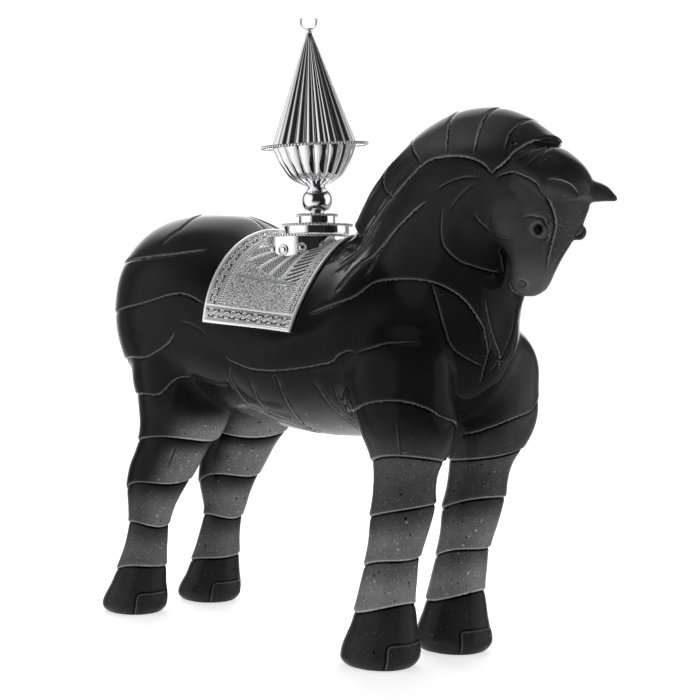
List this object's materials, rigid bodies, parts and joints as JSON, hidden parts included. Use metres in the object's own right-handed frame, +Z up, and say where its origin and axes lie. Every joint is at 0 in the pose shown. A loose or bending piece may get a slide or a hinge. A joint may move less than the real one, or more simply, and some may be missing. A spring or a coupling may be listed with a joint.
{
  "type": "crystal horse sculpture",
  "caption": "Cast dark crystal horse with plated joints, an engraved silver saddle cloth and a silver cup with a conical lid.",
  "frame": {"origin": "on the floor, under the middle of the object's box", "axes": "+Z up, the horse looks along -Y, its left side is +X"},
  "size_m": [0.1316, 0.392, 0.3986],
  "materials": {
    "crystal": "polished smoke-black crystal with seeds of air, clearer grey in the thin lower legs",
    "engraved_silver": "polished silver sheet, chased all over and darkened in the cuts",
    "silver": "mirror-polished silver",
    "clear_crystal": "clear polished crystal"
  },
  "bodies": {
    "root": {"horse": "crystal", "saddle_cloth": "engraved_silver", "saddle_collar": "silver", "lower_tier": "silver", "upper_tier": "silver", "stem_ball": "silver", "bowl": "silver", "cone_lid": "silver", "lid_ball": "clear_crystal"}
  },
  "joints": []
}
